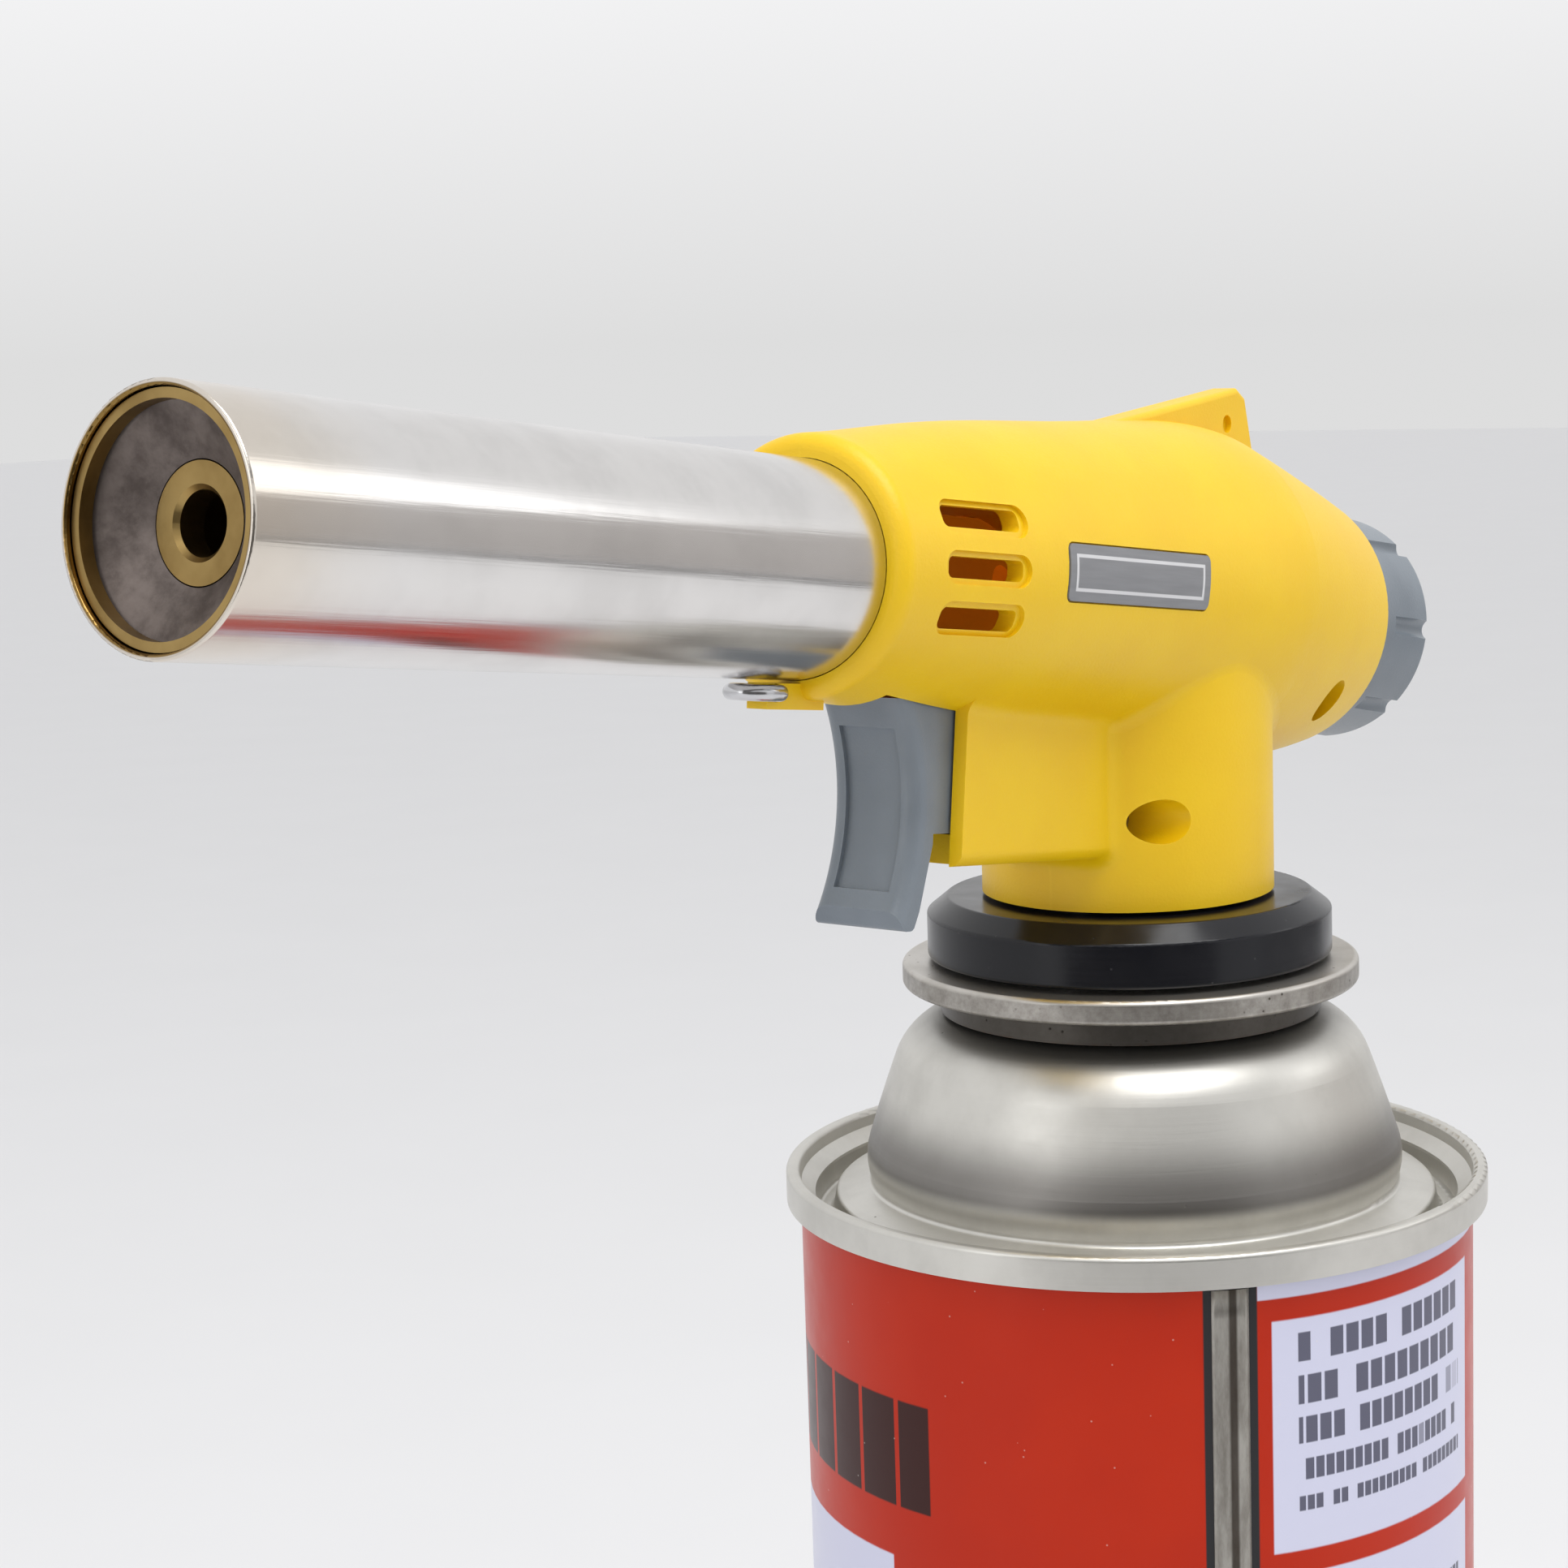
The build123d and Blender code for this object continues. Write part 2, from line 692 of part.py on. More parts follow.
# electrode wire, bent towards the burner tube at the mouth end
with BuildPart() as electrode_rod:
    with BuildLine(burner_side) as rod_path:
        FilletPolyline((46.2, -electrode_drop), (113.6, -electrode_drop), (115.4, -5.5), radius=0.8)
    with BuildSketch(Plane(origin=rod_path.wires()[0] @ 0, z_dir=burner_forward)):
        Circle(0.45)
    sweep(path=rod_path.wires()[0])

electrode_rod.part.label = "electrode_rod"
export_step(electrode_rod.part, "parts/electrode_rod.step")

# insulated lead from the igniter block to the electrode
with BuildPart() as ignition_lead:
    with BuildLine(burner_side) as lead_path:
        FilletPolyline(
            (14.0, -11.95),
            (14.0, -7.9),
            (40.0, -7.9),
            (43.0, -electrode_drop),
            (45.95, -electrode_drop),
            radius=1.5,
        )
    with BuildSketch(Plane(origin=lead_path.wires()[0] @ 0, z_dir=lead_path.wires()[0] % 0)):
        Circle(0.8)
    sweep(path=lead_path.wires()[0])

ignition_lead.part.label = "ignition_lead"
export_step(ignition_lead.part, "parts/ignition_lead.step")

# trigger: curved finger face with an inset panel, foot below the case, shank into the case
with BuildPart() as trigger:
    with BuildSketch(burner_side):
        with BuildLine():
            face = ThreePointArc((43.6, -10.4), (40.6, -20.0), (42.7, -28.6))
            Polyline(
                face @ 1,
                (41.9, -30.3),
                (40.4, -30.3),
                (39.6, -28.6),
                (38.0, -22.9),
                (38.0, -22.0),
                (31.0, -22.0),
                (31.0, -10.4),
                face @ 0,
            )
        make_face()
    extrude(amount=trigger_half, both=True)
    foot_edges = trigger.edges().filter_by(Axis.Y).sort_by(Axis.Z)
    fillet(foot_edges[:2], 0.7)
    fillet(trigger.edges().filter_by(GeomType.CIRCLE).filter_by(lambda e: e.length > 10), 1.5)
    with BuildSketch(burner_side):
        with BuildLine():
            panel = ThreePointArc((43.1, -10.4), (40.1, -20.0), (42.2, -28.6))
            Polyline(panel @ 1, (50.0, -28.6), (50.0, -10.4), panel @ 0)
        make_face()
        with Locations((45.0, -20.0)):
            Rectangle(16.0, 14.0, mode=Mode.INTERSECT)
    extrude(amount=2.9, both=True, mode=Mode.SUBTRACT)
    with BuildSketch(burner_section(30.0)):
        with Locations((0, plunger_drop)):
            Circle(plunger_radius + 0.1)
    extrude(amount=7.2, mode=Mode.SUBTRACT)

trigger.part.label = "trigger"
export_step(trigger.part, "parts/trigger.step")

# ---------------------------------------------------------------- housing
neck_screw_at = (-10.15, 35.7)  # X, and height above the chime
rear_screw_at = (19.2, 43.8)
screw_seat = 3.5  # depth of the screw heads' seats, as distance from the parting plane
vent_heights = (4.9, 0.7, -3.5)
vent_at = 42.5
label_at = (20.7, 1.0)
label_size = (22.0, 4.95)
ring_pivot = (56.7, -10.25)  # along the burner, and across it
ring_wire = 0.7
ring_half_width = 1.9
ring_arm = 1.6
eye_half = 1.05


def housing_skin(inset):
    """The barrel's form, from the front lip to the rear rim, drawn in by an inset."""
    with BuildPart() as skin:
        for distance, rise, radius in (
            (loft_front, 0.0, 11.2),
            (40.0, 0.6, 12.5),
            (26.0, 0.9, 13.7),
            (12.0, 1.1, 14.6),
            (-0.5, 0.8, 16.1),
            (-9.0, 0.5, 16.5),
        ):
            with BuildSketch(tilted_section(distance, rise, burner_tilt)):
                Circle(radius - inset)
        loft()
        for distance, rise, radius, tilt in (
            (-9.0, 0.5, 16.5, burner_tilt),
            (-20.0, 0.1, 15.3, valve_tilt),
            (-rim_at, 0.0, 13.4, valve_tilt),
        ):
            with BuildSketch(tilted_section(distance, rise, tilt)):
                Circle(radius - inset)
        loft()
    return skin.part


def side_bar(place, radius, low, high):
    """A bar parallel to Y at an X and a height above the chime, between two values of Y."""
    with BuildPart() as bar:
        with BuildSketch(Plane(origin=(place[0], low, chime_top + place[1]), z_dir=(0, 1, 0))):
            Circle(radius)
        extrude(amount=high - low)
    return bar.part


def label_zone(margin):
    """A block over the label's place on the left side, grown by a margin."""
    with BuildPart() as zone:
        with BuildSketch(burner_side.offset(-20.0)):
            with Locations(label_at):
                RectangleRounded(label_size[0] + 2 * margin, label_size[1] + 2 * margin, 0.6 + margin)
        extrude(amount=15.0)
    return zone.part


# trigger case below the barrel, with softened lower edges
with BuildPart() as case_block:
    add(burner_block(case_rear, case_front, case_bottom, -4.0, case_half))
    lower_edges = case_block.edges().filter_by(burner_axis).sort_by(Axis.Z)[:2]
    fillet(lower_edges, 1.3)

# whole outer form: barrel, neck and case, blended, and the fin on top
with BuildPart() as outer_form:
    add(housing_skin(0))
    with BuildSketch(above_chime(neck_low)):
        Circle(neck_radius)
    extrude(amount=28.0)
    add(case_block.part)
    blend_edges = (
        outer_form.edges()
        .filter_by(GeomType.BSPLINE)
        .filter_by(lambda e: 29 < e.center().Z - chime_top < 52 and e.center().X < neck_radius)
        .filter_by(lambda e: e.bounding_box().max.Z - chime_top < 58 and e.bounding_box().max.X > -34)
    )
    fillet(blend_edges, 2.0)
    add(burner_bar(20.0, lip_front, loft_front + 1.0), mode=Mode.SUBTRACT)
    fillet(outer_form.edges().filter_by(lambda e: e.bounding_box().max.X < -50), 1.5)
    fillet(outer_form.edges().filter_by(lambda e: e.bounding_box().min.X > 25), 0.8)

with BuildPart() as fin:
    with BuildSketch(Plane.XZ):
        with BuildLine():
            Polyline(
                (-8.0, chime_top + 72.2),
                (20.8, chime_top + 74.9),
                (22.4, chime_top + 73.9),
                (24.6, chime_top + 66.0),
                (0, chime_top + 66.0),
                close=True,
            )
        make_face()
    extrude(amount=1.7, both=True)
    fillet(fin.edges().filter_by(Axis.Y, reverse=True).filter_by(lambda e: e.center().Z > chime_top + 69.0), 0.6)

# hollow inside: barrel, neck and case, less the walls and screw posts left standing
with BuildPart() as hollow:
    add(housing_skin(shell_wall))
    with BuildSketch(above_chime(neck_low - 1.0)):
        Circle(neck_radius - shell_wall)
    extrude(amount=30.0)
    add(burner_bar(20.0, 49.4, 60.0), mode=Mode.SUBTRACT)
    add(burner_bar(12.8, 27.0, 28.6, bore=5.9), mode=Mode.SUBTRACT)
    add(knob_bar(20.0, 28.6, 40.0), mode=Mode.SUBTRACT)
    add(burner_block(case_rear, case_front + 1.0, sill_top, -9.8, trigger_half + trigger_gap))
    add(burner_block(26.0, 50.0, -10.5, -5.0, 1.4))
    for place in (neck_screw_at, rear_screw_at):
        add(side_bar(place, 2.9, -20.0, 20.0), mode=Mode.SUBTRACT)

with BuildPart() as housing:
    add(outer_form.part)
    add(fin.part)
    add(burner_block(50.0, ring_pivot[0] + 1.15, ring_pivot[1] - 1.35, ring_pivot[1] + 0.8, eye_half))
    add(hollow.part, mode=Mode.SUBTRACT)
    # seats and passages: flame tube, mixer, knob hub, ring bar
    add(burner_bar(tube_radius + grip, tube_start, 70.0), mode=Mode.SUBTRACT)
    add(burner_bar(5.9, 49.0, tube_start + 0.1), mode=Mode.SUBTRACT)
    add(burner_block(49.0, tube_start + 0.1, -10.5, -5.0, 1.4), mode=Mode.SUBTRACT)
    add(knob_bar(6.2, 28.0, rim_at + 1.0), mode=Mode.SUBTRACT)
    add(along_y(ring_wire + 0.07, burner_side, ring_pivot, -2.0, 2.0), mode=Mode.SUBTRACT)
    # trigger slot under the barrel and clearance in the sill
    add(burner_block(33.0, 46.4, -13.5, -8.0, trigger_half + trigger_gap), mode=Mode.SUBTRACT)
    add(burner_block(32.8, case_front + 1.0, -26.0, -22.0, trigger_half + trigger_gap), mode=Mode.SUBTRACT)
    # air vents, each in a shallow recess
    with BuildPart(mode=Mode.PRIVATE) as vent_recess:
        with BuildSketch(burner_side):
            for height in vent_heights:
                with Locations((vent_at, height)):
                    SlotOverall(11.0, 2.8)
        extrude(amount=20.0, both=True)
        add(housing_skin(0.4), mode=Mode.SUBTRACT)
    add(vent_recess.part, mode=Mode.SUBTRACT)
    with BuildSketch(burner_side):
        for height in vent_heights:
            with Locations((vent_at, height)):
                RectangleRounded(9.6, 1.8, 0.6)
    extrude(amount=20.0, both=True, mode=Mode.SUBTRACT)
    # label pocket
    with BuildPart(mode=Mode.PRIVATE) as label_pocket:
        add(label_zone(0.15))
        add(housing_skin(0.45), mode=Mode.SUBTRACT)
    add(label_pocket.part, mode=Mode.SUBTRACT)
    # screw seats on the left, clearance holes, and blind pilot holes on the right
    for place in (neck_screw_at, rear_screw_at):
        add(side_bar(place, 2.1, -20.0, -screw_seat), mode=Mode.SUBTRACT)
        add(side_bar(place, 1.3, -6.0, 0.0), mode=Mode.SUBTRACT)
        add(side_bar(place, 1.15, 0.0, 6.5), mode=Mode.SUBTRACT)
    # dimple in the fin
    add(side_bar((18.3, 71.4), 0.9, -3.0, -1.1), mode=Mode.SUBTRACT)

with BuildPart() as housing_left:
    add(housing.part)
    split(bisect_by=Plane.XZ, keep=Keep.TOP)

housing_left.part.label = "housing_left"
export_step(housing_left.part, "parts/housing_left.step")

with BuildPart() as housing_right:
    add(housing.part)
    split(bisect_by=Plane.XZ, keep=Keep.BOTTOM)

housing_right.part.label = "housing_right"
export_step(housing_right.part, "parts/housing_right.step")

# screws that hold the halves together, with cross recesses
with BuildPart() as housing_screws:
    for place in (neck_screw_at, rear_screw_at):
        add(side_bar(place, 1.95, -screw_seat - 1.6, -screw_seat))
        add(side_bar(place, 1.1, -screw_seat, 6.0))
        with BuildSketch(Plane(origin=(place[0], -screw_seat - 1.6, chime_top + place[1]), z_dir=(0, 1, 0))):
            Rectangle(2.4, 0.5)
            Rectangle(0.5, 2.4)
        extrude(amount=0.8, mode=Mode.SUBTRACT)

housing_screws.part.label = "housing_screws"
export_step(housing_screws.part, "parts/housing_screws.step")

# plain curved plate that fills the label pocket
with BuildPart() as label_plate:
    add(label_zone(0))
    add(housing_skin(-0.1), mode=Mode.INTERSECT)
    add(housing_skin(0.4), mode=Mode.SUBTRACT)

label_plate.part.label = "label_plate"
export_step(label_plate.part, "parts/label_plate.step")

# wire ring under the front lip, with its bar through the housing's eye
ring_plane = Plane(
    origin=burner_side.from_local_coords((ring_pivot[0], ring_pivot[1], 0)),
    x_dir=burner_forward,
    z_dir=burner_section(0).y_dir,
)
with BuildPart() as hang_ring:
    with BuildLine(ring_plane) as ring_path:
        arms = FilletPolyline(
            (ring_arm, -ring_half_width),
            (0, -ring_half_width),
            (0, ring_half_width),
            (ring_arm, ring_half_width),
            radius=0.9,
        )
        ThreePointArc(arms @ 1, (ring_arm + ring_half_width, 0), arms @ 0)
    with BuildSketch(Plane(origin=arms @ 0, z_dir=arms % 0)):
        Circle(ring_wire)
    sweep(path=ring_path.wires()[0])

hang_ring.part.label = "hang_ring"
export_step(hang_ring.part, "parts/hang_ring.step")
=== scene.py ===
import json
import math

import bmesh
import bpy
from mathutils import Matrix, Vector


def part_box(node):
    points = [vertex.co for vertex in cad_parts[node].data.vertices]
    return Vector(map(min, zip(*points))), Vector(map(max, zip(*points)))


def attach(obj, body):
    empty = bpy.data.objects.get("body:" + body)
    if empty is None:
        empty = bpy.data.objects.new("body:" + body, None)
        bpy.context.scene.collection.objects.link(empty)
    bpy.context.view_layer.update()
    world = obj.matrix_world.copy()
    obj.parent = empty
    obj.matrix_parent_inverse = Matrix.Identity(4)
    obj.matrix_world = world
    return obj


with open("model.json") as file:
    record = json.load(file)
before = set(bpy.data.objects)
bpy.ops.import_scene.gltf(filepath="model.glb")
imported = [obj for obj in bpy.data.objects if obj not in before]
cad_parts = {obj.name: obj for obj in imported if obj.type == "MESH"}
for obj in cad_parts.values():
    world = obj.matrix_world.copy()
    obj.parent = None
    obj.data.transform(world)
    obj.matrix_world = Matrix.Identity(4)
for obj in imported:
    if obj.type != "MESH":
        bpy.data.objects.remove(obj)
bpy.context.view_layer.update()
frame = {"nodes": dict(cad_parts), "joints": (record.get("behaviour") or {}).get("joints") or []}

# ---------------------------------------------------------------- places taken from the frame
MM = 0.001
can_low, can_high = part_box("can_body")
DOME_SKIRT = 5.6  # from the dome's lowest edge up to its top seam
chime_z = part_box("can_dome")[0].z + DOME_SKIRT * MM
can_radius = can_high.x
burner_joint = next(j for j in frame["joints"] if j["name"] == "trigger_pull")
knob_joint = next(j for j in frame["joints"] if j["name"] == "knob_turn")
burner_forward = -Vector(burner_joint["axis"])
burner_upward = Vector((burner_forward.z, 0, -burner_forward.x))
valve_point = Vector(knob_joint["pos_m"])


def rgb(red, green, blue):
    """A display colour, 0 to 255 a channel, as linear RGBA."""
    channels = []
    for value in (red, green, blue):
        share = value / 255
        channels.append(share / 12.92 if share <= 0.04045 else ((share + 0.055) / 1.055) ** 2.4)
    return (*channels, 1.0)


class Paint:
    """A procedural material. Places are the piece's own, in metres; sizes are in millimetres."""

    def __init__(self, name, **inputs):
        self.material = bpy.data.materials.new(name)
        self.material.use_nodes = True
        self.tree = self.material.node_tree
        self.shader = self.tree.nodes["Principled BSDF"]
        self.place = self.add("ShaderNodeTexCoord").outputs["Object"]
        self.height = None
        for key, value in inputs.items():
            self.put(self.shader.inputs[key.replace("_", " ")], value)

    def add(self, kind, **settings):
        node = self.tree.nodes.new(kind)
        for key, value in settings.items():
            setattr(node, key, value)
        return node

    def put(self, socket, value):
        if isinstance(value, bpy.types.NodeSocket):
            self.tree.links.new(value, socket)
        else:
            socket.default_value = value

    def set(self, key, value):
        self.put(self.shader.inputs[key], value)

    def math(self, operation, first, second=0.0):
        node = self.add("ShaderNodeMath", operation=operation)
        self.put(node.inputs[0], first)
        self.put(node.inputs[1], second)
        return node.outputs[0]

    def mix(self, amount, first, second, blend="MIX"):
        node = self.add("ShaderNodeMix", data_type="RGBA", blend_type=blend, clamp_factor=True)
        self.put(node.inputs[0], amount)
        self.put(node.inputs[6], first)
        self.put(node.inputs[7], second)
        return node.outputs[2]

    def part(self, axis):
        """One coordinate of the place."""
        node = self.add("ShaderNodeSeparateXYZ")
        self.put(node.inputs[0], self.place)
        return node.outputs["XYZ".index(axis)]

    def along(self, direction):
        """Distance from the valve along a direction, in metres."""
        offset = self.add("ShaderNodeVectorMath", operation="SUBTRACT")
        self.put(offset.inputs[0], self.place)
        offset.inputs[1].default_value = valve_point
        dot = self.add("ShaderNodeVectorMath", operation="DOT_PRODUCT")
        self.put(dot.inputs[0], offset.outputs[0])
        dot.inputs[1].default_value = direction
        return dot.outputs["Value"]

    def above_seam(self):
        """Height above the cartridge's top seam, in millimetres."""
        return self.math("MULTIPLY", self.math("SUBTRACT", self.part("Z"), chime_z), 1000.0)

    def colour(self):
        """What the base colour is linked to so far."""
        return self.shader.inputs["Base Color"].links[0].from_socket

    def stretched(self, share):
        """The place with its height scaled by a share, for marks that run down the wall."""
        return self.combine(self.part("X"), self.part("Y"), self.math("MULTIPLY", self.part("Z"), share))

    def combine(self, x, y, z):
        node = self.add("ShaderNodeCombineXYZ")
        for socket, value in zip(node.inputs, (x, y, z)):
            self.put(socket, value)
        return node.outputs[0]

    def turn(self):
        """Angle about the cartridge axis in degrees, 0 to 360."""
        angle = self.math("ARCTAN2", self.part("Y"), self.part("X"))
        degrees = self.math("MULTIPLY", angle, 180 / math.pi)
        return self.math("FLOORED_MODULO", degrees, 360.0)

    def noise(self, size, detail=3.0, roughness=0.55, place=None):
        """Noise whose features are about a size in millimetres."""
        node = self.add("ShaderNodeTexNoise")
        self.put(node.inputs["Vector"], place or self.place)
        node.inputs["Scale"].default_value = 1000 / size
        node.inputs["Detail"].default_value = detail
        node.inputs["Roughness"].default_value = roughness
        return node.outputs["Fac"]

    def cells(self, size, place=None):
        """Distance to the nearest of scattered points, in units of the size."""
        node = self.add("ShaderNodeTexVoronoi")
        self.put(node.inputs["Vector"], place or self.place)
        node.inputs["Scale"].default_value = 1000 / size
        return node.outputs["Distance"]

    def step(self, value, low, high, start=0.0, end=1.0):
        """A smooth change from start to end as the value goes from low to high."""
        node = self.add("ShaderNodeMapRange", interpolation_type="SMOOTHSTEP")
        self.put(node.inputs["Value"], value)
        for key, number in (("From Min", low), ("From Max", high), ("To Min", start), ("To Max", end)):
            node.inputs[key].default_value = number
        return node.outputs["Result"]

    def band(self, value, low, high, soft):
        """1 between two values and 0 outside them."""
        rise = self.step(value, low - soft, low + soft)
        fall = self.step(value, high - soft, high + soft, 1.0, 0.0)
        return self.math("MULTIPLY", rise, fall)

    def both(self, *masks):
        product = masks[0]
        for mask in masks[1:]:
            product = self.math("MULTIPLY", product, mask)
        return product

    def edges(self, radius):
        """1 near sharp edges, within a radius in millimetres."""
        bevel = self.add("ShaderNodeBevel", samples=4)
        bevel.inputs["Radius"].default_value = radius * MM
        geometry = self.add("ShaderNodeNewGeometry")
        dot = self.add("ShaderNodeVectorMath", operation="DOT_PRODUCT")
        self.put(dot.inputs[0], bevel.outputs[0])
        self.put(dot.inputs[1], geometry.outputs["Normal"])
        return self.step(dot.outputs["Value"], 0.80, 0.99, 1.0, 0.0)

    def bump(self, height, depth, strength=1.0):
        """Relief from a height, of a depth in millimetres; calls stack."""
        node = self.add("ShaderNodeBump")
        node.inputs["Strength"].default_value = strength
        node.inputs["Distance"].default_value = depth * MM
        self.put(node.inputs["Height"], height)
        if self.height is not None:
            self.put(node.inputs["Normal"], self.height)
        self.height = node.outputs[0]
        self.put(self.shader.inputs["Normal"], self.height)


def moulded(name, colour, deep, roughness, grain, soft=0.0):
    """Moulded plastic: fine sparked grain, slow colour drift, dust and rubbed edges."""
    paint = Paint(name)
    drift = paint.noise(9.0, 2.0)
    fine = paint.noise(grain, 2.0)
    scuffs = paint.step(paint.noise(1.6, 6.0, 0.75), 0.62, 0.80)
    rubbed = paint.both(paint.edges(0.35), paint.step(paint.noise(1.2, 4.0), 0.35, 0.65))
    base = paint.mix(paint.step(drift, 0.3, 0.7), colour, deep)
    pale = tuple(min(1.0, c * 1.25 + 0.02) for c in colour[:3]) + (1.0,)
    base = paint.mix(paint.math("MULTIPLY", scuffs, 0.10), base, pale)
    paint.set("Base Color", paint.mix(paint.math("MULTIPLY", rubbed, 0.35), base, pale))
    gloss = paint.math("ADD", paint.math("MULTIPLY", fine, 0.14), roughness - 0.07)
    paint.set("Roughness", paint.math("ADD", gloss, paint.math("MULTIPLY", scuffs, 0.10)))
    paint.set("IOR", 1.49)
    if soft:
        paint.set("Subsurface Weight", soft)
        paint.set("Subsurface Radius", (0.9, 0.45, 0.08))
        paint.set("Subsurface Scale", 1.2 * MM)
    paint.bump(fine, 0.035, 0.7)
    paint.bump(drift, 0.10, 0.15)
    return paint


def metal(name, colour, dark, roughness, grain, lines=None, pits=0.0, haze=0.16):
    """Bare metal: grain or drawn lines, smudges, and dark pits."""
    paint = Paint(name, Metallic=1.0)
    smudge = paint.noise(7.0, 4.0, 0.6)
    fine = paint.noise(grain, 3.0, place=lines(paint) if lines else None)
    base = paint.mix(paint.step(smudge, 0.35, 0.75), colour, dark)
    rough = paint.math("ADD", paint.math("MULTIPLY", smudge, haze), roughness - haze / 2)
    rough = paint.math("ADD", rough, paint.math("MULTIPLY", fine, 0.08))
    if pits:
        spots = paint.step(paint.cells(1.1), 0.05, 0.16, 1.0, 0.0)
        spots = paint.both(spots, paint.step(paint.noise(5.0, 3.0), 0.66 - pits * 0.2, 0.80 - pits * 0.2))
        base = paint.mix(spots, base, rgb(46, 40, 34))
        rough = paint.math("ADD", rough, paint.math("MULTIPLY", spots, 0.35))
        paint.bump(spots, -0.05, 0.6)
    paint.set("Base Color", base)
    paint.set("Roughness", rough)
    paint.bump(fine, 0.02, 0.35)
    return paint


def burner_lines(paint):
    """Coordinates stretched along the flame tube, for drawing lines."""
    return paint.combine(
        paint.math("MULTIPLY", paint.along(burner_forward), 0.02),
        paint.part("Y"),
        paint.along(burner_upward),
    )


def turned_lines(paint):
    """Coordinates that only change with radius and height about the cartridge axis."""
    radius = paint.math(
        "SQRT",
        paint.math(
            "ADD",
            paint.math("POWER", paint.math("ABSOLUTE", paint.part("X")), 2.0),
            paint.math("POWER", paint.math("ABSOLUTE", paint.part("Y")), 2.0),
        ),
    )
    return paint.combine(radius, paint.math("MULTIPLY", paint.turn(), 0.00001), paint.part("Z"))


# ---------------------------------------------------------------- materials of single parts
# places on the side wall's print: degrees about the axis, millimetres above the top seam
BLOCKS_TURN, BLOCKS_HEIGHT, BLOCK_PITCH = (82.0, 175.0), (-27.0, -16.6), 9.3
FIELD_TURN, FIELD_HEIGHT, FIELD_STRIPE = (96.0, 166.4), (-92.0, -32.0), (-84.0, -70.0)
BORDER_TURN, WELD_TURN = (220.9, 229.6), (224.9, 226.2)
FRAME_TURN, PANEL_TURN, TEXT_TURN = (229.6, 292.0), (232.0, 281.5), (236.5, 277.0)
PANEL_HEIGHTS = ((-28.8, -7.0), (-72.0, -31.0), (-112.0, -76.0), (-152.0, -116.0))
TURN_SOFT, HEIGHT_SOFT = 0.15, 0.12

# rows of bars: middle height, bar height, bar pitch in degrees
BAR_ROWS = [(-9.7, 2.7, 3.1), (-13.7, 2.7, 3.1), (-17.5, 2.5, 2.6), (-21.2, 2.0, 1.9), (-24.4, 1.4, 1.6)]
SMALL_ROW = 3.2
for first, count in ((-37.0, 10), (-80.0, 9), (-120.0, 9)):
    BAR_ROWS += [(first - SMALL_ROW * row, 1.3, 1.7) for row in range(count)]


